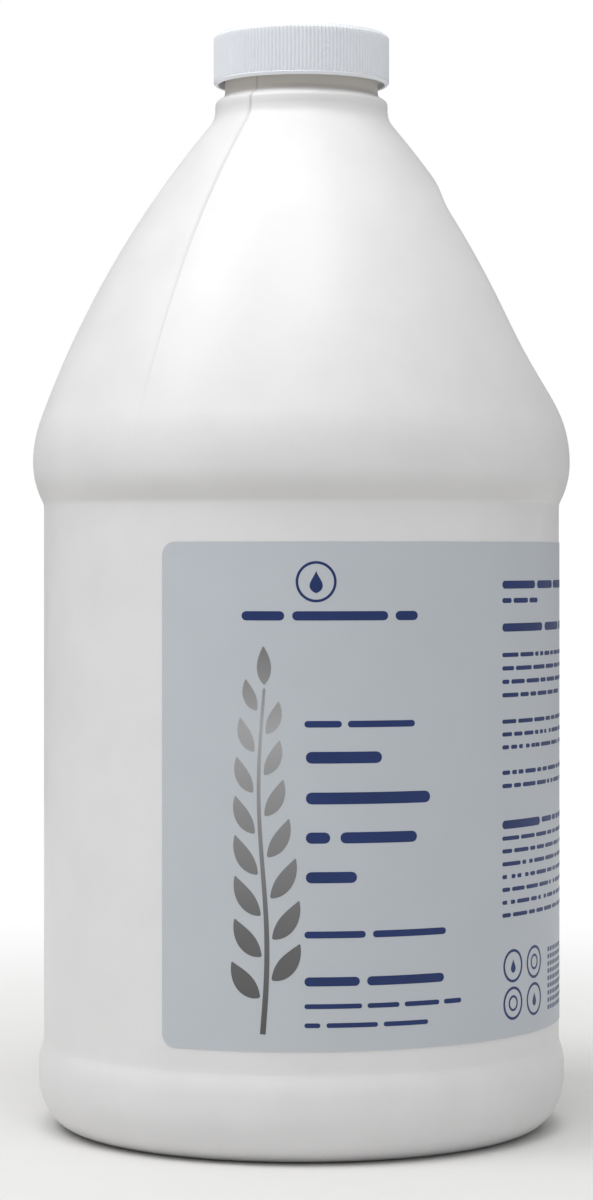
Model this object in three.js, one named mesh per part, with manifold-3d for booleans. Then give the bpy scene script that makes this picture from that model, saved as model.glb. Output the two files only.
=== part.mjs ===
// Half-gallon jug of massage oil: a blow-moulded body with a hollow grip in its shoulder, a ribbed
// screw cap, the sealing liner inside the cap, and a wrap label on the recessed panel.
// Millimetres, +Z up along the jug's axis, origin at the centre of the resting plane. The label
// faces -Y. Azimuths are in degrees, 0 at -Y and growing towards +X.

import * as THREE from 'three';
import { mergeVertices } from 'three/addons/utils/BufferGeometryUtils.js';
import Module from 'manifold-3d';

const wasm = await Module();
wasm.setup();

const rad = THREE.MathUtils.degToRad;

// ---- Driving dimensions ----

const COLUMNS = 56; // facets round the body
const WALL = 1.0; // of the blow-moulded body
const GAP = 0.3; // between pieces that touch

const BASE = { ringInner: 46.2, ringOuter: 51.4, pushUp: 4.5, heelWidth: 8.8, heelHeight: 12 };
const BAND = { radius: BASE.ringOuter + BASE.heelWidth, top: 14.3, upperRadius: 12 };
const PANEL_RADIUS = 59;
const BEAD = { radius: 61.5, height: 151.2, lowerRadius: 19, upperRadius: 29 };
const SHOULDER = { startAngle: rad(19.85), radius: 223.6 };
const NECK = {
  ringRadius: 19.8,
  ringTop: 234,
  stepTop: 235.2,
  flare: 0.25,
  flareTop: 236.1,
  rootRadius: 17.55,
  boreRadius: 14.75,
  boreLead: 2, // height of the slope below the bore
  top: 246.6,
};

// 38-400 finish: 38 mm, one turn at six threads to the inch, right-handed.
const PITCH = 25.4 / 6;
const NECK_THREAD = {
  crestRadius: 18.75,
  baseWidth: 2.39,
  crestWidth: 1,
  firstZ: -6.2,
  start: 300,
  turns: 1,
};
const CAP_THREAD = { crestRadius: 17.9, baseWidth: 2.2, crestWidth: 0.9, drop: 1.77, lag: 150, turns: 1 };
const THREAD_FADE = 0.06; // share of the thread over which each end runs out
const THREAD_SINK = 0.45; // how far a thread's root is sunk past its wall
const THREAD_STEPS = 44; // to a turn

// Heights of the cap are measured from the top of the finish.
const CAP = {
  top: 3,
  ceiling: 1.5,
  bottom: -8.6,
  rimTop: -7.9,
  rimBevel: 0.5,
  innerRadius: 19.05,
  topRounding: 1.2,
};
const RIBS = { count: 144, crestRadius: 20.15, valleyRadius: 19.8, overlap: 0.3, runUp: 0.6 };
const CORE_SINK = 0.05; // how far the cap's round core stands behind the valleys of its ribs
const LINER = { radius: 18.6, thickness: 0.9 };

// The grip stands opposite the front mould seam.
const GRIP_AZIMUTH = 144.4;
const GRIP = { width: 21, depth: 15.5, wall: 1.3 };
const GRIP_PATH = [[50.5, 148], [52.6, 164], [52.4, 178], [47, 191.5], [35.6, 204], [24, 213], [12, 220]];
const BAY = {
  bottom: 153,
  ledgeTop: 160,
  wallFoot: 188,
  roofBottom: 208,
  top: 227,
  depthShare: 0.4,
  roundingShare: 0.3,
};

const LABEL = {
  radius: PANEL_RADIUS + GAP,
  thickness: GAP,
  bottom: 24.8,
  top: 133,
  start: -30.4,
  length: 165,
  corner: 3,
};

// ---- Shared tools ----

const point = (x, y) => new THREE.Vector2(x, y);

// Points of an oval arc from one angle to another, both ends included.
function ovalArc(centreX, centreY, width, height, from, to, steps) {
  return new THREE.EllipseCurve(centreX, centreY, width, height, from, to, to < from).getPoints(steps);
}

function arc(centreX, centreY, radius, from, to, steps) {
  return ovalArc(centreX, centreY, radius, radius, from, to, steps);
}

// Revolves an outline of (radius, height) points round +Z, with its first column at azimuth 0.
function revolve(points, columns) {
  return new THREE.LatheGeometry(points, columns).rotateX(Math.PI / 2);
}

// Extrudes a section in steps, and sets each corner where place(x, y, share) says. The section's
// x and y and the way back along the bar make a right-handed set.
function sweep(section, steps, place) {
  const shape = new THREE.Shape(section);
  const bar = new THREE.ExtrudeGeometry(shape, { depth: steps, steps, bevelEnabled: false });
  const corners = bar.getAttribute('position');
  for (let i = 0; i < corners.count; i += 1) {
    const at = place(corners.getX(i), corners.getY(i), 1 - corners.getZ(i) / steps);
    corners.setXYZ(i, at.x, at.y, at.z);
  }
  return bar;
}

// A point on the circle of the given radius, at an azimuth in radians.
function around(radius, azimuth, height) {
  return new THREE.Vector3(radius * Math.sin(azimuth), -radius * Math.cos(azimuth), height);
}

// Turns a closed geometry into a solid for joining and cutting.
function solid(geometry) {
  geometry.deleteAttribute('normal');
  geometry.deleteAttribute('uv');
  const merged = mergeVertices(geometry);
  const kept = [];
  for (let i = 0; i < merged.index.count; i += 3) {
    const [a, b, c] = [0, 1, 2].map((k) => merged.index.getX(i + k));
    if (a !== b && b !== c && c !== a) kept.push(a, b, c);
  }
  const vertProperties = new Float32Array(merged.getAttribute('position').array);
  return new wasm.Manifold(new wasm.Mesh({ numProp: 3, vertProperties, triVerts: new Uint32Array(kept) }));
}

function geometryOf(body) {
  const mesh = body.getMesh();
  const geometry = new THREE.BufferGeometry();
  geometry.setAttribute('position', new THREE.BufferAttribute(mesh.vertProperties, 3));
  geometry.setIndex(new THREE.BufferAttribute(mesh.triVerts, 1));
  return geometry;
}

function piece(name, body, material) {
  const mesh = new THREE.Mesh(geometryOf(body), material);
  mesh.name = name;
  return mesh;
}

// A screw thread as a solid ridge. Its root is sunk past the wall that it stands on, and each end
// runs out to nothing within the wall.
function threadRidge({ wallRadius, crestRadius, baseWidth, crestWidth, startZ, start, turns }) {
  const sink = Math.sign(wallRadius - crestRadius) * THREAD_SINK;
  const outline = [
    point(wallRadius + sink, -baseWidth / 2),
    point(crestRadius, -crestWidth / 2),
    point(crestRadius, crestWidth / 2),
    point(wallRadius + sink, baseWidth / 2),
  ];
  return sweep(outline, Math.round(turns * THREAD_STEPS), (x, y, share) => {
    const fade = Math.min(1, share / THREAD_FADE, (1 - share) / THREAD_FADE);
    const radius = wallRadius + sink * 0.5 + (x - wallRadius - sink * 0.5) * Math.max(fade, 0.02);
    const height = startZ + share * turns * PITCH + y * (0.4 + 0.6 * fade);
    return around(radius, rad(start) + share * turns * 2 * Math.PI, height);
  });
}

// ---- Jug ----

// Outline of the shoulder from the panel's crease to the neck ring, inset by the wall for the inside.
function shoulderOutline(inset, steps) {
  const panel = PANEL_RADIUS - inset;
  const lowerCentre = BEAD.radius - BEAD.lowerRadius;
  const upperCentre = BEAD.radius - BEAD.upperRadius;
  const shoulderX = upperCentre + (BEAD.upperRadius - SHOULDER.radius) * Math.cos(SHOULDER.startAngle);
  const shoulderZ = BEAD.height + (BEAD.upperRadius - SHOULDER.radius) * Math.sin(SHOULDER.startAngle);
  const crease = Math.acos((panel - lowerCentre) / (BEAD.lowerRadius - inset));
  const end = Math.acos((NECK.ringRadius - inset - shoulderX) / (SHOULDER.radius - inset));
  return [
    ...arc(lowerCentre, BEAD.height, BEAD.lowerRadius - inset, -crease, 0, steps),
    ...arc(upperCentre, BEAD.height, BEAD.upperRadius - inset, 0, SHOULDER.startAngle, steps).slice(1),
    ...arc(shoulderX, shoulderZ, SHOULDER.radius - inset, SHOULDER.startAngle, end, steps * 4).slice(1),
  ];
}

// Push-up, resting ring, heel and base band, up to the panel's lower crease.
function baseOutline(inset, steps) {
  const pushUp = new THREE.CubicBezierCurve(
    point(0, BASE.pushUp + inset),
    point(BASE.ringInner * 0.6, BASE.pushUp + inset),
    point(BASE.ringInner * 0.9, BASE.pushUp + inset),
    point(BASE.ringInner, inset),
  );
  const bandCentre = BAND.radius - BAND.upperRadius;
  const crease = Math.acos((PANEL_RADIUS - inset - bandCentre) / (BAND.upperRadius - inset));
  return [
    ...pushUp.getPoints(steps),
    ...ovalArc(
      BASE.ringOuter,
      BASE.heelHeight,
      BASE.heelWidth - inset,
      BASE.heelHeight - inset,
      -Math.PI / 2,
      0,
      steps + 1,
    ),
    ...arc(bandCentre, BAND.top, BAND.upperRadius - inset, 0, crease, steps - 1),
  ];
}

// How far out the bay's wall stands at a height, as a share of the shoulder's radius. The floor turns
// in quickly from its ledge and then eases into the wall, and the roof curves back out.
function bayShare(height) {
  const smooth = (from, to) => THREE.MathUtils.smoothstep(height, from, to);
  const left = THREE.MathUtils.clamp((BAY.wallFoot - height) / (BAY.wallFoot - BAY.bottom), 0, 1);
  const floor = smooth(BAY.bottom, BAY.ledgeTop) * (1 - left ** 3);
  return 1 - (1 - BAY.depthShare) * floor * (1 - smooth(BAY.roofBottom, BAY.top));
}

// Radius of the body at an angle from the grip, where the bay flattens the round shoulder. The flat
// and the round wall meet in an arc, and inset gives the curve inside the wall.
function bayRadius(radius, height, angle, inset) {
  const share = bayShare(height);
  if (share > 0.999) return radius - inset;
  const rounding = radius * BAY.roundingShare;
  const flat = radius * share - inset;
  const centreU = radius * share - rounding;
  const centreV = Math.sqrt(Math.max(0, (radius - rounding) ** 2 - centreU ** 2));
  const turn = Math.abs(angle);
  if (turn < Math.atan2(centreV, flat)) return flat / Math.cos(turn);
  if (turn > Math.atan2(centreV, centreU)) return radius - inset;
  const along = centreU * Math.cos(turn) + centreV * Math.sin(turn);
  const reach = (rounding - inset) ** 2 - (radius - rounding) ** 2;
  return along + Math.sqrt(along ** 2 + reach);
}

// Sinks the bay into a revolved shoulder.
function sinkBay(geometry, inset) {
  const corners = geometry.getAttribute('position');
  for (let i = 0; i < corners.count; i += 1) {
    const [x, y, z] = [corners.getX(i), corners.getY(i), corners.getZ(i)];
    const radius = Math.hypot(x, y);
    if (z > BAY.bottom && z < BAY.top && radius > 1) {
      const azimuth = Math.atan2(x, -y);
      const away = azimuth - rad(GRIP_AZIMUTH);
      const angle = Math.atan2(Math.sin(away), Math.cos(away));
      const at = around(bayRadius(radius + inset, z, angle, inset), azimuth, z);
      corners.setXYZ(i, at.x, at.y, at.z);
    }
  }
  return geometry;
}

// The grip: an oval bar swept up the back of the shoulder, or the hollow inside it.
function gripBar(inset) {
  const azimuth = rad(GRIP_AZIMUTH);
  const knots = GRIP_PATH.map(([radius, height]) => around(radius, azimuth, height));
  const path = new THREE.CatmullRomCurve3(knots);
  const section = new THREE.EllipseCurve(0, 0, GRIP.depth / 2 - inset, GRIP.width / 2 - inset);
  const outline = section.getPoints(14).slice(0, -1);
  const bar = sweep(outline, 18, (x, y, share) => {
    const centre = path.getPointAt(share);
    const tangent = path.getTangentAt(share);
    const sideways = around(1, azimuth + Math.PI / 2, 0);
    const across = new THREE.Vector3().crossVectors(tangent, sideways);
    return centre.addScaledVector(across, x).addScaledVector(sideways, y);
  });
  return bar;
}

function makeJug() {
  const outside = [
    ...baseOutline(0, 4),
    ...shoulderOutline(0, 3),
    point(NECK.ringRadius, NECK.ringTop),
    point(NECK.rootRadius + NECK.flare, NECK.stepTop),
    point(NECK.rootRadius, NECK.flareTop),
    point(NECK.rootRadius, NECK.top),
    point(0, NECK.top),
  ];
  const boreBottom = NECK.stepTop - (NECK.rootRadius - NECK.boreRadius) - WALL;
  const aboveNeck = NECK.top + 1;
  const inside = [
    ...baseOutline(WALL, 3),
    ...shoulderOutline(WALL, 3),
    point(NECK.ringRadius - WALL, boreBottom - NECK.boreLead),
    point(NECK.boreRadius, boreBottom),
    point(NECK.boreRadius, aboveNeck),
    point(0, aboveNeck),
  ];
  const thread = threadRidge({
    ...NECK_THREAD,
    wallRadius: NECK.rootRadius,
    startZ: NECK.top + NECK_THREAD.firstZ,
  });
  const shell = solid(sinkBay(revolve(outside, COLUMNS), 0)).add(solid(gripBar(0))).add(solid(thread));
  const hollow = solid(sinkBay(revolve(inside, COLUMNS), WALL)).add(solid(gripBar(GRIP.wall)));
  return shell.subtract(hollow);
}

// ---- Cap, with the top of the finish at height 0 ----

function makeCap() {
  const coreRadius = RIBS.valleyRadius - CORE_SINK;
  const core = revolve([
    point(0, CAP.bottom),
    point(RIBS.crestRadius - CAP.rimBevel, CAP.bottom),
    point(RIBS.crestRadius, CAP.bottom + CAP.rimBevel),
    point(RIBS.crestRadius, CAP.rimTop),
    point(coreRadius, CAP.rimTop + 0.2),
    ...arc(coreRadius - CAP.topRounding, CAP.top - CAP.topRounding, CAP.topRounding, 0, Math.PI / 2, 4),
    point(0, CAP.top),
  ], COLUMNS);
  const flutes = [];
  for (let i = 0; i < RIBS.count * 2; i += 1) {
    const radius = i % 2 === 0 ? RIBS.crestRadius : RIBS.valleyRadius;
    const angle = (i * Math.PI) / RIBS.count;
    flutes.push(point(radius * Math.cos(angle), radius * Math.sin(angle)));
  }
  const ribTop = CAP.top - CAP.topRounding + RIBS.runUp;
  const ribBottom = CAP.rimTop - RIBS.overlap;
  const ribs = new THREE.ExtrudeGeometry(new THREE.Shape(flutes), {
    depth: ribTop - ribBottom,
    bevelEnabled: false,
  }).translate(0, 0, ribBottom);
  const belowCap = CAP.bottom - 1;
  const room = revolve([
    point(0, belowCap),
    point(CAP.innerRadius, belowCap),
    point(CAP.innerRadius, CAP.ceiling),
    point(0, CAP.ceiling),
  ], COLUMNS);
  const thread = threadRidge({
    ...CAP_THREAD,
    wallRadius: CAP.innerRadius,
    start: NECK_THREAD.start + CAP_THREAD.lag,
    startZ: NECK_THREAD.firstZ - CAP_THREAD.drop + (CAP_THREAD.lag / 360) * PITCH,
  });
  return solid(core).add(solid(ribs)).subtract(solid(room)).add(solid(thread));
}

function makeLiner() {
  return solid(revolve([
    point(0, GAP),
    point(LINER.radius, GAP),
    point(LINER.radius, GAP + LINER.thickness),
    point(0, GAP + LINER.thickness),
  ], COLUMNS));
}

// ---- Label ----

function makeLabel() {
  const span = LABEL.length / LABEL.radius;
  const middle = (LABEL.bottom + LABEL.top) / 2;
  const half = (LABEL.top - LABEL.bottom) / 2;
  const section = [point(0, -1), point(LABEL.thickness, -1), point(LABEL.thickness, 1), point(0, 1)];
  // Stations gather in the rounded corners and are even between them.
  const corners = [0, 0.13, 0.5, 1].map((share) => share * LABEL.corner);
  const evenSteps = 38;
  const stations = [...corners];
  for (let i = 1; i < evenSteps; i += 1) {
    stations.push(LABEL.corner + (i / evenSteps) * (LABEL.length - 2 * LABEL.corner));
  }
  stations.push(...corners.map((distance) => LABEL.length - distance).reverse());
  const film = sweep(section, stations.length - 1, (x, y, share) => {
    const along = stations[Math.round(share * (stations.length - 1))];
    const inset = Math.max(0, LABEL.corner - Math.min(along, LABEL.length - along));
    const cut = LABEL.corner - Math.sqrt(LABEL.corner ** 2 - inset ** 2);
    const azimuth = rad(LABEL.start) + (along / LABEL.length) * span;
    return around(LABEL.radius + x, azimuth, middle + y * (half - cut));
  });
  return solid(film);
}

// ---- Assembly ----

const jugPlastic = new THREE.MeshStandardMaterial({ color: 0xf1f1ef, roughness: 0.42, metalness: 0 });
const capPlastic = new THREE.MeshStandardMaterial({ color: 0xe9eef6, roughness: 0.33, metalness: 0 });
const linerFoam = new THREE.MeshStandardMaterial({ color: 0xf5f3ec, roughness: 0.8, metalness: 0 });
const labelFilm = new THREE.MeshStandardMaterial({ color: 0xb4c0ca, roughness: 0.5, metalness: 0 });

const closure = new THREE.Group();
closure.position.z = NECK.top;
closure.add(piece('screw_cap', makeCap(), capPlastic));
closure.add(piece('cap_liner', makeLiner(), linerFoam));

const bottle = new THREE.Group();
bottle.add(piece('jug_body', makeJug(), jugPlastic));
bottle.add(closure);
bottle.add(piece('wrap_label', makeLabel(), labelFilm));

export default bottle;
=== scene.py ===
"""Looks of the half-gallon massage oil jug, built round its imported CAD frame. Shapes are worked out
in millimetres and set down in metres, in the frame of the CAD. Azimuths are in degrees, 0 at -Y and
growing towards +X. Every piece of the jug is a closed skin."""

import math

import bpy
import numpy as np
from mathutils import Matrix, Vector


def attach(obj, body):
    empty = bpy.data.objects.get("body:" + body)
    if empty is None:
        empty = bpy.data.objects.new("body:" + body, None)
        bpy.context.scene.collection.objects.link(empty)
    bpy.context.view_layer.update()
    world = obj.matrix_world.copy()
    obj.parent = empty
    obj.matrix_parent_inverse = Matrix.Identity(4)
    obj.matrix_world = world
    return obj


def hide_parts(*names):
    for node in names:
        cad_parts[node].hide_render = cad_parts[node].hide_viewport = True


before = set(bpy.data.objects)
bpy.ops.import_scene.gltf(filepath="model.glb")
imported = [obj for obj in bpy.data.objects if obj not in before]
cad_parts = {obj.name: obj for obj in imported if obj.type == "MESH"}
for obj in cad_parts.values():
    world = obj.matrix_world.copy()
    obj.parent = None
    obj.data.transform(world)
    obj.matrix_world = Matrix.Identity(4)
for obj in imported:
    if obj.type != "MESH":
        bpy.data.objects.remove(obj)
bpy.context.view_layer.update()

MM = 0.001

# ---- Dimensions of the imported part, in millimetres ----

WALL = 1.0
BASE = dict(ring_inner=46.2, ring_outer=51.4, push_up=4.5, heel_width=8.8, heel_height=12.0)
BAND = dict(radius=60.2, top=14.3, upper=12.0)
PANEL_RADIUS = 59.0
BEAD = dict(radius=61.5, height=151.2, lower=19.0, upper=29.0)
SHOULDER = dict(start=math.radians(19.85), radius=223.6)
NECK = dict(ring=19.8, ring_top=234.0, step_top=235.2, flare=0.25, flare_top=236.1, root=17.55,
            bore=14.75, bore_lead=2.0, top=246.6)

PITCH = 25.4 / 6
NECK_THREAD = dict(base=2.39, crest=1.0, height=1.2, first=240.4, start=300.0)
CAP_THREAD = dict(base=2.2, crest=0.9, height=-1.15, first=-6.206, start=90.0)
THREAD_FADE = 0.06

CAP = dict(top=3.0, ceiling=1.5, bottom=-8.6, rim_top=-7.9, bevel=0.5, inner=19.05, rounding=1.2)
RIBS = dict(count=144, crest=20.15, valley=19.8)
LINER = dict(radius=18.6, bottom=0.3, top=1.2)

SEAM_AZIMUTH = -35.6
GRIP_AZIMUTH = SEAM_AZIMUTH + 180
GRIP = dict(width=21.0, depth=15.5, wall=1.3)
GRIP_PATH = [(50.5, 148), (52.6, 164), (52.4, 178), (47, 191.5), (35.6, 204), (24, 213), (12, 220)]
BAY = dict(bottom=153.0, ledge_top=160.0, wall_foot=188.0, roof_bottom=208.0, top=227.0,
           share=0.4, rounding=0.3)

LABEL = dict(radius=59.3, bottom=24.8, top=133.0, start=-30.4, length=165.0, corner=3.0)
FILM = (59.02, 59.14)
INK = (59.10, 59.165)

# ---- Finer shapes that only the looks have, in millimetres ----

# Spread of the rounding at the jug's corners: in general, under the neck's ring and on the neck.
CORNERS = dict(plain=0.5, under_ring=1.3, under_ring_zone=(225, 232.2), neck=0.22, neck_from=234.8,
               outside_bore=18)
# How far the parting line stands proud: (low down, what it gains, from this height, to this height).
# It grows out of the base over the heights in foot and ends at top.
SEAM = dict(front=(0.04, 0.22, 188, 214), back=(0.10, 0.08, 150, 175), grip=0.2, width=0.36,
            foot=(3, 9), top=235)
# The pinch-off weld across the push-up: its height, half its width, the radii where it fades, and
# the height that the push-up stays below.
WELD = dict(height=0.5, half=0.8, fades=(38, 44), below=6)
# Heights over which the bay's wall is averaged, so that its rim is rounded off.
RIM_STEPS = (-1.2, -0.6, 0.0, 0.6, 1.2)
# The fillet between the grip and the body, and the heights where it starts and ends.
FILLET = dict(size=6.0, foot=(154, 166), head=(217, 224), full_at=0.6)
# The gate mark, a shallow dent in the middle of the cap: the radii of its rim and of its floor.
GATE = dict(radius=1.9, floor=1.5, depth=0.14)
# The crease that the neck's rim presses into the liner.
CREASE = dict(depth=0.06, radius=16.2, half=1.2)

# ---- Fineness of the jug's skin, in millimetres ----

# Longest step between rows of the wall, of the neck's ring and of its thread.
ROWS = dict(wall=4.0, neck=1.5, thread=0.28)
# The lattice over the shoulder: the heights of its points, and the number and depth of its layers.
ZONE = np.linspace(152, 226, 62)
LAYER = 1.1
LAYERS = 41
# Points of the section kept beyond each end of the zone.
MARGIN = 60
# How often, and how far at most, the lattice's points are pulled on to the true surface.
PULLS = 4
LONGEST_PULL = 0.8

# ---- Stage ----

FLOOR_RADIUS = 900
FLOOR_FADE = (90, 450)
DOME_RADIUS = 4000
CAMERA = dict(distance=764, height=129.6, lens=99.7, shift_x=-0.0041, shift_y=-0.0353)


# ---- Lines and skins ----

def oval_arc(centre_x, centre_z, width, height, start, end, steps=48):
    turn = np.linspace(start, end, steps + 1)
    return np.stack([centre_x + width * np.cos(turn), centre_z + height * np.sin(turn)], 1)


def arc(centre_x, centre_z, radius, start, end, steps=48):
    return oval_arc(centre_x, centre_z, radius, radius, start, end, steps)


def even(points, step):
    """The line through the points, with its points a step apart."""
    points = np.asarray(points, float)
    gaps = np.hypot(*np.diff(points, axis=0).T)
    points = points[np.concatenate([[True], gaps > 1e-9])]
    along = np.concatenate([[0], np.cumsum(np.hypot(*np.diff(points, axis=0).T))])
    at = np.linspace(0, along[-1], int(along[-1] / step) + 1)
    return np.stack([np.interp(at, along, points[:, i]) for i in (0, 1)], 1)


def soften(points, width, step=0.08):
    """Rounds a line's corners. width gives the spread of the rounding at each point, and the
    rounding fades to nothing at the two ends."""
    line = even(points, step)
    count = len(line)
    index = np.arange(count)
    spread = np.minimum(width(line), (np.minimum(index, count - 1 - index) + 0.01) * step / 3)
    total, weight = np.zeros_like(line), np.zeros(count)
    reach = int(3.5 * spread.max() / step)
    for offset in range(-reach, reach + 1):
        share = np.exp(-0.5 * (offset * step / spread) ** 2)
        total += share[:, None] * line[np.clip(index + offset, 0, count - 1)]
        weight += share
    return total / weight[:, None]


def stations(line, longest, bend=math.radians(9)):
    """Picks points of a dense line, closer together where it bends or where longest is small."""
    step = np.diff(line, axis=0)
    heading = np.unwrap(np.arctan2(step[:, 1], step[:, 0]))
    turning = np.abs(np.gradient(heading))
    longest = np.broadcast_to(longest, len(line))[1:]
    cost = np.concatenate([[0], np.cumsum(np.hypot(*step.T) / longest + turning / bend)])
    at = np.interp(np.linspace(0, cost[-1], int(cost[-1]) + 2), cost, np.arange(len(line)))
    return np.stack([np.interp(at, np.arange(len(line)), line[:, i]) for i in (0, 1)], 1)


class Skin:
    """A closed mesh in the making: corners in millimetres, and faces seen from outside."""

    def __init__(self):
        self.corners, self.faces, self.count = [], [], 0

    def add(self, points):
        points = np.asarray(points, float).reshape(-1, 3)
        self.corners.append(points)
        self.count += len(points)
        return np.arange(self.count - len(points), self.count)

    def bridge(self, a, b, closed=True):
        a2, b2 = (np.roll(a, -1), np.roll(b, -1)) if closed else (a[1:], b[1:])
        n = len(a2)
        self.faces += np.stack([a[:n], a2, b2, b[:n]], 1).tolist()

    def fan(self, row, centre, before):
        pairs = zip(row.tolist(), np.roll(row, -1).tolist())
        self.faces += [(b, a, centre) if before else (a, b, centre) for a, b in pairs]

    def mesh(self, name, materials, body, slot, replaces=()):
        mesh = bpy.data.meshes.new(name)
        mesh.from_pydata((np.concatenate(self.corners) * MM).tolist(), [], self.faces)
        mesh.shade_smooth()
        mesh.set_sharp_from_angle(angle=math.radians(38))
        for material in materials:
            mesh.materials.append(material)
        piece = bpy.data.objects.new(name, mesh)
        bpy.context.scene.collection.objects.link(piece)
        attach(piece, body)
        for node in replaces:
            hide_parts(node)
        return piece


def around(radius, azimuth, height):
    """Points at azimuths in radians."""
    radius, azimuth, height = np.broadcast_arrays(radius, azimuth, height)
    return np.stack([radius * np.sin(azimuth), -radius * np.cos(azimuth), height], -1)


def smooth(value, low, high):
    share = np.clip((value - low) / (high - low), 0, 1)
    return share * share * (3 - 2 * share)


def thread_rise(azimuth, z, base, crest, height, first, start):
    """How far a one-turn thread stands proud of its wall. base and crest are its widths, first is
    its height at the azimuth start, in degrees, and azimuth is in radians."""
    turn = np.mod(np.degrees(azimuth) - start, 360) / 360
    off = np.abs(z - first - turn * PITCH)
    fade = smooth(np.minimum(turn, 1 - turn), 0, THREAD_FADE)
    return height * fade * smooth(base / 2 - off, 0, (base - crest) / 2)


# ---- Jug ----

def jug_outline(inset):
    """Half of the jug's section, from the middle of its base to the top of the shoulder."""
    t = np.linspace(0, 1, 60)[:, None]
    low, high = inset, BASE["push_up"] + inset
    inner = BASE["ring_inner"]
    control = np.array([(0, high), (inner * 0.6, high), (inner * 0.9, high), (inner, low)])
    weights = [(1 - t) ** 3, 3 * t * (1 - t) ** 2, 3 * t * t * (1 - t), t ** 3]
    push_up = sum(w * p for w, p in zip(weights, control))
    panel = PANEL_RADIUS - inset
    band_centre = BAND["radius"] - BAND["upper"]
    low_centre = BEAD["radius"] - BEAD["lower"]
    high_centre = BEAD["radius"] - BEAD["upper"]
    drop = BEAD["upper"] - SHOULDER["radius"]
    x = high_centre + drop * math.cos(SHOULDER["start"])
    z = BEAD["height"] + drop * math.sin(SHOULDER["start"])
    band, lower = BAND["upper"] - inset, BEAD["lower"] - inset
    heel_width, heel_height = BASE["heel_width"] - inset, BASE["heel_height"] - inset
    crease = math.acos((panel - low_centre) / lower)
    end = math.acos((NECK["ring"] - inset - x) / (SHOULDER["radius"] - inset))
    return np.concatenate([
        push_up,
        oval_arc(BASE["ring_outer"], BASE["heel_height"], heel_width, heel_height, -math.pi / 2, 0),
        arc(band_centre, BAND["top"], band, 0, math.acos((panel - band_centre) / band)),
        arc(low_centre, BEAD["height"], lower, -crease, 0),
        arc(high_centre, BEAD["height"], BEAD["upper"] - inset, 0, SHOULDER["start"]),
        arc(x, z, SHOULDER["radius"] - inset, SHOULDER["start"], end, 200),
    ])


def jug_rounding(line):
    """Spread of the corner rounding along the jug's section."""
    radius, height = line.T
    low, high = CORNERS["under_ring_zone"]
    under_ring = (height > low) & (height < high) & (radius > CORNERS["outside_bore"])
    spread = np.where(under_ring, CORNERS["under_ring"], CORNERS["plain"])
    return np.where(height > CORNERS["neck_from"], CORNERS["neck"], spread)


def jug_line():
    bore_bottom = NECK["step_top"] - (NECK["root"] - NECK["bore"]) - WALL
    neck = [
        (NECK["ring"], NECK["ring_top"]), (NECK["root"] + NECK["flare"], NECK["step_top"]),
        (NECK["root"], NECK["flare_top"]), (NECK["root"], NECK["top"]),
        (NECK["bore"], NECK["top"]), (NECK["bore"], bore_bottom),
        (NECK["ring"] - WALL, bore_bottom - NECK["bore_lead"]),
    ]
    return soften(np.concatenate([jug_outline(0), neck, jug_outline(WALL)[::-1]]), jug_rounding)


def seam_columns():
    """Azimuths of the jug's columns, in radians: fine at the parting line, and finer at the grip."""
    # Degrees off the parting line, on its front and its back half.
    near = [0, 0.13, 0.28, 0.5, 0.8, 1.2, 1.8, 2.6]
    front = near + list(np.linspace(4, 90, 55))
    back = near + list(np.linspace(3.6, 26.6, 24)) + list(np.linspace(28, 90, 42))[:-1]
    offsets = [-v for v in front[::-1]] + front[1:]
    offsets += [180 - v for v in back[::-1]] + [180 + v for v in back[1:]]
    return np.radians(SEAM_AZIMUTH + np.array(sorted(offsets)))


def seam_rise(azimuth, radius, height):
    """How far the parting line stands proud, in front and behind."""
    turn = azimuth - math.radians(SEAM_AZIMUTH)
    off = radius * np.sin(turn)
    front, back = (low + gain * smooth(height, start, end)
                   for low, gain, start, end in (SEAM["front"], SEAM["back"]))
    return np.where(np.cos(turn) > 0, front, back) * np.exp(-((off / SEAM["width"]) ** 2))


def bay_radius(radius, height, angle, inset):
    """Radius of the shoulder at an angle from the grip, with the bay's rim rounded off."""
    total = sum(sharp_bay_radius(radius, height + step, angle, inset) for step in RIM_STEPS)
    return total / len(RIM_STEPS)


def sharp_bay_radius(radius, height, angle, inset):
    """Radius of the shoulder at an angle from the grip, where the bay flattens it."""
    left = np.clip((BAY["wall_foot"] - height) / (BAY["wall_foot"] - BAY["bottom"]), 0, 1)
    depth = smooth(height, BAY["bottom"], BAY["ledge_top"]) * (1 - left ** 3)
    depth = depth * (1 - smooth(height, BAY["roof_bottom"], BAY["top"]))
    share = 1 - (1 - BAY["share"]) * depth
    rounding = radius * BAY["rounding"]
    flat = radius * share - inset
    centre_u = radius * share - rounding
    centre_v = np.sqrt(np.maximum(0, (radius - rounding) ** 2 - centre_u ** 2))
    turn = np.abs(angle)
    along = centre_u * np.cos(turn) + centre_v * np.sin(turn)
    reach = (rounding - inset) ** 2 - (radius - rounding) ** 2
    curved = along + np.sqrt(np.maximum(0, along ** 2 + reach))
    on_flat = turn < np.arctan2(centre_v, flat)
    plain = (turn > np.arctan2(centre_v, centre_u)) | (share > 0.999)
    return np.where(plain, radius - inset, np.where(on_flat, flat / np.cos(turn), curved))


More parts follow.
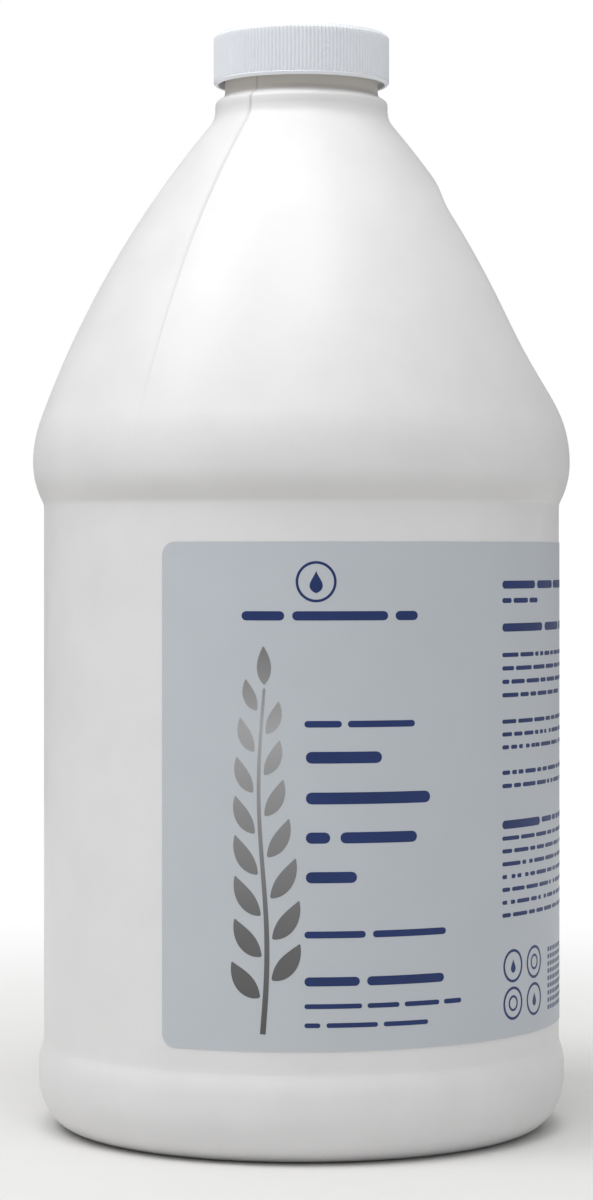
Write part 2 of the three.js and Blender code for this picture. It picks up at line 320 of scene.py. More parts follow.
def grip_line():
    """The grip's middle line in its own plane, as points of (distance out, height)."""
    knots = np.array(GRIP_PATH, float)
    at = np.concatenate([[0], np.cumsum(np.hypot(*np.diff(knots, axis=0).T) ** 0.5)])
    slope = np.gradient(knots, at, axis=0, edge_order=2)
    line = []
    for i in range(len(knots) - 1):
        gap = at[i + 1] - at[i]
        t = np.linspace(0, 1, 60, endpoint=False)[:, None]
        line.append((2 * t ** 3 - 3 * t ** 2 + 1) * knots[i] + (t ** 3 - 2 * t ** 2 + t) * gap * slope[i]
                    + (3 * t ** 2 - 2 * t ** 3) * knots[i + 1] + (t ** 3 - t ** 2) * gap * slope[i + 1])
    return np.concatenate(line + [knots[-1:]])


class Shoulder:
    """The shoulder with its bay and grip, as a field that is 0 on the skin and negative inside. Its
    own axes are u, out through the grip, v, sideways, and z."""

    def __init__(self, heights, radii, inset):
        self.heights, self.radii, self.inset = heights, radii, inset
        self.slopes = np.gradient(radii, heights)
        self.depth = GRIP["depth"] / 2 - (GRIP["wall"] if inset else 0)
        self.width = GRIP["width"] / 2 - (GRIP["wall"] if inset else 0)
        self.line = grip_line()
        self.size = (self.line ** 2).sum(1).astype(np.float32)

    def wall(self, angle, z):
        radius = np.interp(z, self.heights, self.radii)
        sunk = bay_radius(radius + self.inset, z, angle, self.inset)
        if self.inset:
            return sunk
        return sunk + seam_rise(angle + math.radians(GRIP_AZIMUTH), sunk, z)

    def bar(self, u, v, z):
        """The grip's own field, and the way that its skin faces."""
        near = (np.abs(v) < self.width + 8) & (u > 0)
        value = np.full(u.shape, 99.0)
        facing = np.zeros(u.shape + (3,))
        spots = np.stack([u[near], z[near]], 1)
        nearest = np.zeros(len(spots), int)
        for i in range(0, len(spots), 20000):
            part = spots[i:i + 20000].astype(np.float32)
            gap = self.size - 2 * part @ self.line.T.astype(np.float32)
            nearest[i:i + 20000] = np.argmin(gap, 1)
        off = spots - self.line[nearest]
        slope = np.stack([off[:, 0] / self.depth ** 2, v[near] / self.width ** 2,
                          off[:, 1] / self.depth ** 2], 1)
        size = np.maximum(np.linalg.norm(slope, axis=1), 1e-9)
        reach = np.sqrt((off ** 2).sum(1) / self.depth ** 2 + v[near] ** 2 / self.width ** 2)
        value[near] = (reach - 1) * reach / size
        facing[near] = slope / size[:, None]
        if not self.inset:
            outside = smooth(facing[..., 0] + 0.6 * facing[..., 2], 0.2, 0.7)
            value = value - SEAM["grip"] * outside * np.exp(-((v / SEAM["width"]) ** 2))
        return value, facing

    def __call__(self, u, v, z):
        angle, out = np.arctan2(v, u), np.hypot(u, v)
        slope = np.interp(z, self.heights, self.slopes)
        lean = np.hypot(1, slope)
        body = (out - self.wall(angle, z)) / lean
        bar, facing = self.bar(u, v, z)
        alike = (np.cos(angle) * facing[..., 0] + np.sin(angle) * facing[..., 1]
                 - slope * facing[..., 2]) / lean
        blend = FILLET["size"] * smooth(z, *FILLET["foot"]) * (1 - smooth(z, *FILLET["head"]))
        blend = np.maximum(blend * np.clip((1 - alike) / FILLET["full_at"], 0, 1), 1e-6)
        overlap = np.maximum(blend - np.abs(body - bar), 0)
        return np.minimum(body, bar) - overlap ** 2 / (4 * blend)

    def slope_at(self, points, reach=0.02):
        shifts = np.eye(3) * reach
        return np.stack([(self(*(points + s).T) - self(*(points - s).T)) / (2 * reach)
                         for s in shifts], 1)


def lattice(shoulder, columns):
    """Nodes of a lattice that follows the shoulder's wall, by (angle, height, layer), and the
    shoulder's field at each. The last angle is the first one again."""
    angles = columns - math.radians(GRIP_AZIMUTH)
    before = np.roll(angles, 1)
    before[0] -= 2 * math.pi
    half = (ZONE[1] - ZONE[0]) / 2
    heights = np.append(ZONE - half, ZONE[-1] + half)
    # A layer and a half of the lattice lies inside the wall, and the rest spans the grip.
    layers = (np.arange(LAYERS) - 1.5) * LAYER
    angle, z = np.meshgrid((angles + before) / 2, heights, indexing="ij")
    out = shoulder.wall(angle, z)[..., None] + layers
    u, v = out * np.cos(angle)[..., None], out * np.sin(angle)[..., None]
    nodes = np.stack([u, v, np.broadcast_to(z[..., None], u.shape)], -1)
    values = shoulder(*nodes.reshape(-1, 3).T).reshape(u.shape)
    return tuple(np.concatenate([x, x[:1]]) for x in (nodes, values))


def middle_of_crossings(nodes, values, cells, corners):
    """For each cell, the middle of the places where its edges cross the surface."""
    j, k, i = cells
    total, hits = np.zeros((len(j), 3)), np.zeros(len(j))
    for a in corners:
        for b in corners:
            if a < b and sum(x != y for x, y in zip(a, b)) == 1:
                at_a = (j + a[0], k + a[1], i + a[2])
                at_b = (j + b[0], k + b[1], i + b[2])
                fa, fb = values[at_a], values[at_b]
                cut = (fa < 0) != (fb < 0)
                share = np.where(cut, fa / np.where(cut, fa - fb, 1), 0)[:, None]
                total += cut[:, None] * (nodes[at_a] + share * (nodes[at_b] - nodes[at_a]))
                hits += cut
    return total / hits[:, None]


def net_faces(inside, corner_at):
    """A face for each lattice edge that crosses the surface, between the points of its four cells."""
    shape = corner_at.shape
    quads = []
    for axis in range(3):
        # The four cells round a lattice edge, in the order that faces along the edge.
        first, second = ((1, 2), (2, 0), (0, 1))[axis]
        here = inside[:shape[0]]
        if axis == 0:
            beyond = np.roll(here, -1, axis=0)
        elif axis == 1:
            here, beyond = here[:, :-1], here[:, 1:]
        else:
            here, beyond = here[:, :, :-1], here[:, :, 1:]
        edges = np.argwhere(here != beyond)
        keep = np.ones(len(edges), bool)
        for side in (1, 2):
            if side != axis:
                keep &= (edges[:, side] > 0) & (edges[:, side] < shape[side])
        edges = edges[keep]
        rising = here[tuple(edges.T)]
        around_edge = []
        for one, two in ((1, 1), (0, 1), (0, 0), (1, 0)):
            cell = edges.copy()
            cell[:, first] -= one
            cell[:, second] -= two
            cell[:, 0] %= shape[0]
            around_edge.append(corner_at[tuple(cell.T)])
        quad = np.stack(around_edge, 1)
        quads.append(np.where(rising[:, None], quad, quad[:, ::-1]))
    return np.concatenate(quads)


def net_shoulder(skin, shoulder, columns):
    """Adds the shoulder's skin to a jug, as a net over its lattice. Gives the lowest and the highest
    row."""
    nodes, values = lattice(shoulder, columns)
    inside = values < 0
    corners = [(a, b, c) for a in (0, 1) for b in (0, 1) for c in (0, 1)]
    shape = tuple(n - 1 for n in inside.shape)
    filled = sum(inside[a:a + shape[0], b:b + shape[1], c:c + shape[2]].astype(int)
                 for a, b, c in corners)
    cells = j, k, i = np.nonzero((filled > 0) & (filled < 8))
    points = middle_of_crossings(nodes, values, cells, corners)

    # Where only the wall is crossed, the point stands on its own column and row.
    angles = columns - math.radians(GRIP_AZIMUTH)
    wall_at = shoulder.wall(angles[j], ZONE[k])
    plain = np.stack([wall_at * np.cos(angles[j]), wall_at * np.sin(angles[j]), ZONE[k]], 1)
    alone = (i == 1) & (shoulder.bar(*plain.T)[0] > FILLET["size"])
    for _ in range(PULLS):
        slope = shoulder.slope_at(points[~alone])
        value = shoulder(*points[~alone].T)
        move = value[:, None] * slope / np.maximum((slope ** 2).sum(1), 0.2)[:, None]
        points[~alone] -= np.clip(move, -LONGEST_PULL, LONGEST_PULL)
    points[alone] = plain[alone]

    azimuth = np.arctan2(points[:, 1], points[:, 0]) + math.radians(GRIP_AZIMUTH)
    corner_at = np.full(shape, -1)
    corner_at[cells] = skin.add(around(np.hypot(points[:, 0], points[:, 1]), azimuth, points[:, 2]))
    quads = net_faces(inside, corner_at)
    if shoulder.inset:
        quads = quads[:, ::-1]
    skin.faces += quads.tolist()
    return corner_at[:, 0].max(1), corner_at[:, -1].max(1)


def build_jug(material):
    """The jug's skin, once round its section: the base and the wall outside, the shoulder, the neck
    and its bore, then the same inside, back to the middle of the floor."""
    line = jug_line()
    radius, height = line.T
    # Where the section enters and leaves the shoulder's zone, first outside and then inside.
    peak = int(np.argmax(height))
    first = int(np.argmax(height > ZONE[0]))
    second = int(np.argmax(height > ZONE[-1]))
    third = peak + int(np.argmax(height[peak:] < ZONE[-1]))
    fourth = third + int(np.argmax(height[third:] < ZONE[0]))
    columns = seam_columns()
    skin = Skin()

    def add_row(r, z, outside):
        radii = np.full(len(columns), r)
        if outside:
            seam = seam_rise(columns, r, z) * smooth(z, *SEAM["foot"]) * (z < SEAM["top"])
            radii = radii + seam
            if z > NECK["step_top"]:
                # The thread stands on the neck's outer wall and not on its rim.
                on_wall = smooth(r, 17.2, 17.5)
                radii = radii + on_wall * thread_rise(columns, z, **NECK_THREAD)
        heights = np.full(len(columns), z)
        if outside and z < WELD["below"] and r < BASE["ring_inner"]:
            off = r * np.sin(columns - math.radians(SEAM_AZIMUTH))
            rest = 1 - smooth(r, *WELD["fades"])
            heights = heights - rest * WELD["height"] * np.exp(-((off / WELD["half"]) ** 4))
        return skin.add(around(radii, columns, heights))

    def add_rows(points, outside):
        rows = [add_row(r, z, outside) for r, z in points]
        for a, b in zip(rows, rows[1:]):
            skin.bridge(a, b)
        return rows[0], rows[-1]

    lower = stations(line[1:first + 1], ROWS["wall"])
    bottom, below = add_rows(lower[1:-1], True)
    zone = slice(first - MARGIN, second + MARGIN)
    low, high = net_shoulder(skin, Shoulder(height[zone], radius[zone], 0), columns)
    skin.bridge(below, low)
    top_of_zone = line[second:third + 1]
    threaded = (top_of_zone[:, 1] > NECK["step_top"]) & (top_of_zone[:, 0] > 17)
    middle = stations(top_of_zone, np.where(threaded, ROWS["thread"], ROWS["neck"]))[1:-1]
    turn_in = int(np.argmax(middle[:, 0] < NECK["bore"] + 0.3))
    start_up, end_up = add_rows(middle[:turn_in], True)
    skin.bridge(high, start_up)
    start_in, end_in = add_rows(middle[turn_in:], False)
    skin.bridge(end_up, start_in)
    zone = slice(third - MARGIN, fourth + MARGIN)
    inner_shoulder = Shoulder(height[zone][::-1], radius[zone][::-1], WALL)
    low_in, high_in = net_shoulder(skin, inner_shoulder, columns)
    skin.bridge(end_in, high_in)
    inner = stations(line[fourth:-1], ROWS["wall"])
    start_low, last = add_rows(inner[1:-1], False)
    skin.bridge(low_in, start_low)
    under = skin.add([[0, 0, BASE["push_up"] - WELD["height"]]])[0]
    floor = skin.add([[0, 0, BASE["push_up"] + WALL]])[0]
    skin.fan(bottom, under, before=True)
    skin.fan(last, floor, before=False)
    return skin.mesh("jug_shell", [material], "jug", "jug_plastic", ["jug_body"])


# ---- Cap and liner ----

def build_cap(material):
    per_rib = 6
    columns = np.arange(RIBS["count"] * per_rib) * 2 * math.pi / (RIBS["count"] * per_rib)
    phase = 0.5 + 0.5 * np.cos(columns * RIBS["count"])
    rib = smooth(phase, 0.0, 1.0) * (RIBS["crest"] - RIBS["valley"])
    valley, crest = RIBS["valley"], RIBS["crest"]
    top, turn = CAP["top"], CAP["rounding"]
    gate = top - GATE["depth"]
    line = soften(np.concatenate([
        [(0, CAP["ceiling"]), (CAP["inner"], CAP["ceiling"]), (CAP["inner"], CAP["bottom"]),
         (crest - CAP["bevel"], CAP["bottom"]), (crest, CAP["bottom"] + CAP["bevel"]),
         (crest, CAP["rim_top"]), (valley, CAP["rim_top"] + 0.12)],
        arc(valley - turn, top - turn, turn, 0, math.pi / 2, 24),
        [(GATE["radius"], top), (GATE["floor"], gate), (0, gate)],
    ]), lambda points: np.full(len(points), 0.12), 0.04)
    outer = (line[:, 0] > 17) & (np.arange(len(line)) > np.argmin(line[:, 1]))
    inside_wall = (line[:, 0] > 18) & ~outer
    points = stations(line[1:-1], np.where(outer | inside_wall, 0.42, 2.5)[1:-1], math.radians(12))
    lowest = int(np.argmin(points[:, 1]))
    skin = Skin()
    rows = []
    for index, (r, z) in enumerate(points):
        radii = np.full(len(columns), r)
        heights = np.full(len(columns), z)
        if index > lowest and r > valley - turn:
            grown = smooth(z, CAP["rim_top"] + 0.02, CAP["rim_top"] + 0.3)
            grown = grown * (1 - smooth(z, top - turn + 0.3, top - 0.35))
            radii = radii + rib * grown
        elif index <= lowest and r > CAP["inner"] - 0.2:
            radii = radii + smooth(r, 18.9, 19.0) * thread_rise(columns, z, **CAP_THREAD)
        rows.append(skin.add(around(radii, columns, heights + NECK["top"])))
    for a, b in zip(rows, rows[1:]):
        skin.bridge(a, b)
    ceiling = skin.add([[0, 0, NECK["top"] + CAP["ceiling"]]])[0]
    crown = skin.add([[0, 0, NECK["top"] + gate]])[0]
    skin.fan(rows[0], ceiling, before=True)
    skin.fan(rows[-1], crown, before=False)
    return skin.mesh("ribbed_cap", [material], "cap", "cap_plastic", ["screw_cap"])


def build_liner(material):
    low, high, radius = LINER["bottom"], LINER["top"], LINER["radius"]
    line = soften([(0, low), (radius, low), (radius, high), (0, high)],
                  lambda points: np.full(len(points), 0.14), 0.03)
    columns = np.arange(128) * 2 * math.pi / 128
    skin = Skin()
    rows = []
    points = stations(line[1:-1], np.where(line[1:-1, 0] > 12, 0.5, 4.0), math.radians(14))
    for r, z in points:
        lift = 0
        if z < (low + high) / 2:
            lift = CREASE["depth"] * np.exp(-(((r - CREASE["radius"]) / CREASE["half"]) ** 2))
        rows.append(skin.add(around(r, columns, z + lift + NECK["top"])))
    for a, b in zip(rows, rows[1:]):
        skin.bridge(a, b)
    skin.fan(rows[0], skin.add([[0, 0, NECK["top"] + low]])[0], before=True)
    skin.fan(rows[-1], skin.add([[0, 0, NECK["top"] + high]])[0], before=False)
    return skin.mesh("sealing_liner", [material], "liner", "liner_foam", ["cap_liner"])


# ---- Label. s runs along it from its left edge and t up from its bottom edge. ----

def on_label(s, t, radius):
    azimuth = math.radians(LABEL["start"]) + np.asarray(s, float) / LABEL["radius"]
    return around(radius, azimuth, LABEL["bottom"] + np.asarray(t, float))


def ribbon(skin, middle, half, radii, closed=False):
    """A thin closed strip on the label, along a middle line, half as wide as half on either side."""
    middle = np.asarray(middle, float)
    half = np.broadcast_to(half, len(middle))
    if closed:
        way = np.roll(middle, -1, 0) - np.roll(middle, 1, 0)
    else:
        way = np.gradient(middle, axis=0)
    way = way / np.maximum(np.hypot(*way.T), 1e-9)[:, None]
    side = np.stack([-way[:, 1], way[:, 0]], 1) * half[:, None]
    left, right = middle + side, middle - side
    inner, outer = radii
    corners = (right, outer), (left, outer), (left, inner), (right, inner)
    edges = [skin.add(on_label(edge[:, 0], edge[:, 1], radius)) for edge, radius in corners]
    for a, b in zip(edges, edges[1:] + edges[:1]):
        skin.bridge(a, b, closed)
    if not closed:
        skin.faces.append([int(e[0]) for e in edges])
        skin.faces.append([int(e[-1]) for e in edges[::-1]])


def bar(skin, s0, s1, t0, t1, corner=None, step=1.6):
    """A plain bar with rounded ends."""
    half = (t1 - t0) / 2
    corner = min(half if corner is None else corner, (s1 - s0) / 2)
    share = np.array([0.02, 0.12, 0.3, 0.55, 1.0])
    ends = corner * share
    count = max(1, int((s1 - s0 - 2 * corner) / step))
    inner = np.linspace(corner, s1 - s0 - corner, count + 1)[1:-1]
    at = np.concatenate([ends, inner, (s1 - s0) - ends[::-1]])
    inset = np.maximum(0, corner - np.minimum(at, (s1 - s0) - at))
    cut = corner - np.sqrt(np.maximum(0, corner ** 2 - inset ** 2))
    middle = np.stack([s0 + at, np.full(len(at), (t0 + t1) / 2)], 1)
    ribbon(skin, middle, half - cut, INK)


def words(skin, s0, t0, t1, lengths, gap, weight=0.5):
    """A line of plain bars in place of a line of words, weight of the line's height high."""
    middle, half = (t0 + t1) / 2, (t1 - t0) / 2 * weight
    at = s0
    for length in lengths:
        bar(skin, at, at + length, middle - half, middle + half)
        at += length + gap


def paragraph(skin, s0, s1, t0, t1, lines, seed):
    """Lines of plain bars, as long as running text."""
    random = np.random.default_rng(seed)
    pitch = (t1 - t0) / lines
    for line in range(lines):
        top = t1 - line * pitch
        end = s1 if line < lines - 1 else s0 + (s1 - s0) * random.uniform(0.45, 0.8)
        at = s0
        while at < end - 1.2:
            length = min(random.uniform(2.2, 7.0), end - at)
            if length < 0.9:
                break
            bar(skin, at, at + length, top - pitch * 0.62, top - pitch * 0.3, step=2.0)
            at += length + 0.75


def ring(skin, s, t, radius, half, steps=40):
    turn = np.linspace(0, 2 * math.pi, steps, endpoint=False)
    ribbon(skin, np.stack([s + radius * np.cos(turn), t + radius * np.sin(turn)], 1), half, INK, True)


def drop(skin, s, t, size):
    """A plain drop, point up."""
    share = np.concatenate([np.linspace(0.004, 0.85, 14), np.linspace(0.89, 0.999, 8)])
    width = 0.52 * size * np.sin(math.pi * share ** 1.75) ** 0.7 + 0.01
    ribbon(skin, np.stack([np.full(22, s), t + size * (1.0 - 1.75 * share)], 1), width, INK)


def leaf(skin, base, angle, length, width, bend):
    """A pointed leaf from its base, whose middle line turns by bend along its length."""
    share = np.linspace(0, 1, 20)
    turn = angle + bend * share
    way = np.stack([np.cos(turn), np.sin(turn)], 1) * length / 19
    middle = np.array(base) + np.cumsum(way, 0) - way[0]
    half = width / 2 * np.sin(math.pi * np.clip(share, 0.01, 0.985) ** 0.85) ** 0.8 + 0.02
    ribbon(skin, middle, half, INK)


def front_marks(skin):
    """A drop in a ring, and bars down the front of the label."""
    ring(skin, 34.6, 99.7, 4.1, 0.28, 56)
    drop(skin, 34.6, 99.3, 2.7)
    words(skin, 18.6, 90.1, 94.8, [9.2, 20.8, 5.2], 1.7, 0.42)
    words(skin, 32.1, 67.6, 71.3, [8.0, 15.1], 1.3, 0.38)
    words(skin, 32.4, 58.9, 65.8, [16.5], 2.0, 0.36)
    words(skin, 32.4, 50.2, 57.2, [27.8], 2.0, 0.36)
    words(skin, 32.4, 42.0, 48.6, [5.2, 17.2], 2.2, 0.36)
    words(skin, 32.4, 33.6, 40.2, [11.0], 2.0, 0.36)
    words(skin, 32.1, 22.6, 26.9, [13.2, 17.3], 1.6, 0.34)
    words(skin, 32.1, 12.7, 16.9, [11.9, 18.1], 1.6, 0.46)
    words(skin, 32.1, 7.4, 11.7, [12.4, 7.2, 8.4, 4.6], 1.2, 0.24)
    words(skin, 32.1, 3.4, 7.6, [3.4, 11.2, 10.4], 1.3, 0.24)


def side_marks(skin):
    """Bars in place of the small print on the label's right half."""
    left = 80.9
    words(skin, left, 97.5, 100.3, [13.6, 10.0, 15.0], 1.1, 0.62)
    paragraph(skin, left, 112, 93.6, 97.0, 1, 3)
    words(skin, left, 87.3, 91.8, [17.6, 12.5, 14.0], 1.6, 0.4)
    paragraph(skin, left, 140, 73.2, 84.9, 4, 5)
    paragraph(skin, left, 140, 61.9, 70.3, 3, 7)
    paragraph(skin, left, 138, 53.4, 59.2, 2, 11)
    words(skin, left, 45.0, 48.0, [16.2], 1.0, 0.62)
    paragraph(skin, 98.3, 141, 44.6, 48.4, 1, 12)
    paragraph(skin, left, 141, 25.2, 44.8, 7, 13)


def low_marks(skin):
    """Four rings, a square of dots and four short bars, low on the label's right half."""
    for column in (0, 1):
        for row in (0, 1):
            s, t = 84.9 + column * 9.2, 15.5 - row * 8.2
            ring(skin, s, t, 3.35, 0.3)
            if column == row:
                drop(skin, s, t - 0.3, 1.7)
            else:
                ring(skin, s, t, 1.5, 0.25, 24)
    for row in range(9):
        for column in range(9):
            s, t = 102.2 + column * 1.62, 3.9 + row * 1.62
            bar(skin, s, s + 1.0, t, t + 1.0, corner=0.2)
    for end, low, high in ((141.0, 15.2, 16.3), (136.0, 11.9, 13.0), (138.5, 8.6, 9.7), (131.0, 5.3, 6.4)):
        bar(skin, 120.5, end, low, high)


def sprig_marks(skin):
    """An upright sprig: a gently waving stem, fifteen leaves by turns left and right, and one on
    top. The leaves shrink and close up towards the top."""
    low, high = 3.6, 77
    t = np.linspace(low, high, 60)
    stem = np.stack([23.2 + 0.9 * np.sin((t - low) / 73 * 2.1 * math.pi), t], 1)
    ribbon(skin, stem, np.linspace(0.62, 0.3, 60), INK)
    for n in range(15):
        side = 1 if n % 2 else -1
        base = stem[6 + n * 3 + n // 2] + np.array([side * 1.25, 0.4])
        turn = math.pi / 2 - side * math.radians(56 - 1.4 * n)
        leaf(skin, base, turn, min(9.6 + 0.1 * n, 11.6 - 0.33 * n), 4.1 - 0.1 * n, side * 0.55)
    leaf(skin, stem[-1] + np.array([0, 0.9]), math.pi / 2, 8.0, 3.0, 0.05)


def build_label(film, ink, silver):
    length, corner = LABEL["length"], LABEL["corner"]
    share = np.array([0, 0.03, 0.1, 0.22, 0.4, 0.65, 1.0]) * corner
    middle = np.linspace(corner, length - corner, 140)[1:-1]
    along = np.concatenate([share, middle, length - share[::-1]])
    inset = np.maximum(0, corner - np.minimum(along, length - along))
    cut = corner - np.sqrt(corner ** 2 - inset ** 2)
    tall = LABEL["top"] - LABEL["bottom"]
    sheet = Skin()
    ribbon(sheet, np.stack([along, np.full(len(along), tall / 2)], 1), tall / 2 - cut, FILM)
    sheet.mesh("label_film", [film], "jug", "label_film", ["wrap_label"])

    marks = Skin()
    front_marks(marks)
    side_marks(marks)
    low_marks(marks)
    marks.mesh("label_print", [ink], "jug", "label_film")

    sprig = Skin()
    sprig_marks(sprig)
    sprig.mesh("label_sprig", [silver], "jug", "label_film")


# ---- Materials ----

def plastic(name, colour, shade, roughness, rough_range, bumps, specular=0.5, coat=0.0, scuffs=0.0):
    """A moulded finish: its colour drifts between two shades, its gloss is uneven, and fine relief
    of several sizes lies on it. bumps are (features a metre, height in millimetres)."""
    material = bpy.data.materials.new(name)
    material.use_nodes = True
    nodes, links = material.node_tree.nodes, material.node_tree.links
    shader = nodes["Principled BSDF"]
    shader.inputs["Specular IOR Level"].default_value = specular
    shader.inputs["Coat Weight"].default_value = coat
    place = nodes.new("ShaderNodeTexCoord").outputs["Object"]

    def noise(scale, detail=2.0):
        node = nodes.new("ShaderNodeTexNoise")
        node.inputs["Scale"].default_value = scale
        node.inputs["Detail"].default_value = detail
        links.new(place, node.inputs["Vector"])
        return node.outputs["Fac"]

    drift = nodes.new("ShaderNodeValToRGB")
    drift.color_ramp.elements[0].position = 0.3
    drift.color_ramp.elements[0].color = (*shade, 1)
    drift.color_ramp.elements[1].position = 0.7
    drift.color_ramp.elements[1].color = (*colour, 1)
    links.new(noise(70, 6.0), drift.inputs["Fac"])
    links.new(drift.outputs["Color"], shader.inputs["Base Color"])

    uneven = nodes.new("ShaderNodeMapRange")
    uneven.inputs["From Min"].default_value = 0.3
    uneven.inputs["From Max"].default_value = 0.7
    uneven.inputs["To Min"].default_value = roughness - rough_range
    uneven.inputs["To Max"].default_value = roughness + rough_range
    links.new(noise(140, 5.0), uneven.inputs["Value"])
    gloss = uneven.outputs["Result"]
    if scuffs:
        squeeze = nodes.new("ShaderNodeMapping")
        squeeze.inputs["Scale"].default_value = (1, 1, 9)
        squeeze.inputs["Rotation"].default_value = (0.4, 0.2, 0)
        links.new(place, squeeze.inputs["Vector"])
        streak = nodes.new("ShaderNodeTexNoise")
        streak.inputs["Scale"].default_value = 90
        streak.inputs["Detail"].default_value = 4
        links.new(squeeze.outputs["Vector"], streak.inputs["Vector"])
        worn = nodes.new("ShaderNodeMapRange")
        worn.inputs["From Min"].default_value = 0.62
        worn.inputs["From Max"].default_value = 0.7
        worn.inputs["To Max"].default_value = scuffs
        links.new(streak.outputs["Fac"], worn.inputs["Value"])
        both = nodes.new("ShaderNodeMath")
        both.operation = "ADD"
        links.new(gloss, both.inputs[0])
        links.new(worn.outputs["Result"], both.inputs[1])
        gloss = both.outputs["Value"]
    links.new(gloss, shader.inputs["Roughness"])

    under = None
    for scale, height in bumps:
        bump = nodes.new("ShaderNodeBump")
        bump.inputs["Strength"].default_value = 1.0
        bump.inputs["Distance"].default_value = height * MM
        links.new(noise(scale, 3.0), bump.inputs["Height"])
        if under is not None:
            links.new(under, bump.inputs["Normal"])
        under = bump.outputs["Normal"]
    if under is not None:
        links.new(under, shader.inputs["Normal"])
    return material


def multiply(material, colour, share):
    """Tints the material's colour where the share socket is 1."""
    nodes, links = material.node_tree.nodes, material.node_tree.links
    shader = nodes["Principled BSDF"]
    # On a colour mix node, sockets 6 and 7 are its two colours and output 2 is the mixed one.
    tint = nodes.new("ShaderNodeMix")
    tint.data_type = "RGBA"
    tint.blend_type = "MULTIPLY"
    links.new(share, tint.inputs["Factor"])
    links.new(shader.inputs["Base Color"].links[0].from_socket, tint.inputs[6])
    tint.inputs[7].default_value = (*colour, 1)
    links.new(tint.outputs[2], shader.inputs["Base Color"])


def jug_finish():
    """Natural white polythene, with painted shade in three places: a fine dark line beside the parting
    line, painted as the shadow of its ridge; a darker, warmer tone on the neck above its ring, painted as
    the shade under the cap; and a darker band in the hollow under the bead, painted as the shade there."""
    material = plastic("jug_plastic", (0.812, 0.806, 0.808), (0.777, 0.771, 0.773), 0.40, 0.05,
                       [(260, 0.05), (1300, 0.012)], specular=0.5, scuffs=0.08)
    nodes, links = material.node_tree.nodes, material.node_tree.links
    place = nodes.new("ShaderNodeTexCoord").outputs["Object"]

    def ramp(value, low, high):
        node = nodes.new("ShaderNodeMapRange")
        node.interpolation_type = "SMOOTHSTEP"
        node.inputs["From Min"].default_value = low * MM
        node.inputs["From Max"].default_value = high * MM
        links.new(value, node.inputs["Value"])
        return node.outputs["Result"]

    def times(a, b):
        node = nodes.new("ShaderNodeMath")
        node.operation = "MULTIPLY"
        links.new(a, node.inputs[0])
        links.new(b, node.inputs[1])
        return node.outputs["Value"]

    parts = nodes.new("ShaderNodeSeparateXYZ")
    links.new(place, parts.inputs["Vector"])
    height = parts.outputs["Z"]
    across = nodes.new("ShaderNodeVectorMath")
    across.operation = "DOT_PRODUCT"
    turn = math.radians(SEAM_AZIMUTH)
    across.inputs[1].default_value = (math.cos(turn), math.sin(turn), 0)
    links.new(place, across.inputs[0])
    # Painted shadow: a dark line just beside the parting line, standing in for the shade of its ridge.
    beside = nodes.new("ShaderNodeMath")
    beside.operation = "SUBTRACT"
    beside.inputs[1].default_value = 0.22 * MM
    links.new(across.outputs["Value"], beside.inputs[0])
    off = nodes.new("ShaderNodeMath")
    off.operation = "ABSOLUTE"
    links.new(beside.outputs["Value"], off.inputs[0])
    # The painted shadow starts at a height of 150 mm and is at full strength from 205 mm.
    edge = times(ramp(off.outputs["Value"], 0.42, 0.12), ramp(height, 150, 205))
    multiply(material, (0.80, 0.80, 0.79), edge)

    # Painted shade: a darker, warmer tone on the neck, inside a radius of about 18 mm and above 235 mm,
    # standing in for the shade in the narrow gap under the cap.
    flat = nodes.new("ShaderNodeVectorMath")
    flat.operation = "MULTIPLY"
    flat.inputs[1].default_value = (1, 1, 0)
    links.new(place, flat.inputs[0])
    out = nodes.new("ShaderNodeVectorMath")
    out.operation = "LENGTH"
    links.new(flat.outputs["Vector"], out.inputs[0])
    neck = times(ramp(out.outputs["Value"], 18.2, 17.9), ramp(height, 235.0, 235.6))
    multiply(material, (0.80, 0.765, 0.70), neck)
    # Painted shade: a darker band in the hollow under the bead, between heights of about 141 and 150 mm.
    under_bead_shade = times(ramp(height, 141.2, 142.6), ramp(height, 150.0, 143.5))
    multiply(material, (0.87, 0.87, 0.86), under_bead_shade)
    return material


def silver_ink():
    """Foil-like ink, whose tone runs from dark to light and back up the label."""
    material = plastic("silver_ink", (0.4, 0.4, 0.41), (0.34, 0.34, 0.35), 0.34, 0.05, [(900, 0.006)])
    nodes, links = material.node_tree.nodes, material.node_tree.links
    shader = nodes["Principled BSDF"]
    shader.inputs["Metallic"].default_value = 0.55
    place = nodes.new("ShaderNodeTexCoord").outputs["Object"]
    parts = nodes.new("ShaderNodeSeparateXYZ")
    links.new(place, parts.inputs["Vector"])
    tone = nodes.new("ShaderNodeValToRGB")
    reach = nodes.new("ShaderNodeMapRange")
    reach.inputs["From Min"].default_value = LABEL["bottom"] * MM
    reach.inputs["From Max"].default_value = (LABEL["bottom"] + 88) * MM
    links.new(parts.outputs["Z"], reach.inputs["Value"])
    links.new(reach.outputs["Result"], tone.inputs["Fac"])
    stops = [(0.0, 0.10), (0.28, 0.16), (0.55, 0.30), (0.78, 0.48), (1.0, 0.22)]
    ramp = tone.color_ramp
    for position, grey in stops[1:-1]:
        ramp.elements.new(position).color = (grey, grey, grey * 1.02, 1)
    ramp.elements[0].color = (stops[0][1], stops[0][1], stops[0][1], 1)
    ramp.elements[-1].color = (stops[-1][1], stops[-1][1], stops[-1][1], 1)
    links.new(tone.outputs["Color"], shader.inputs["Base Color"])
    return material


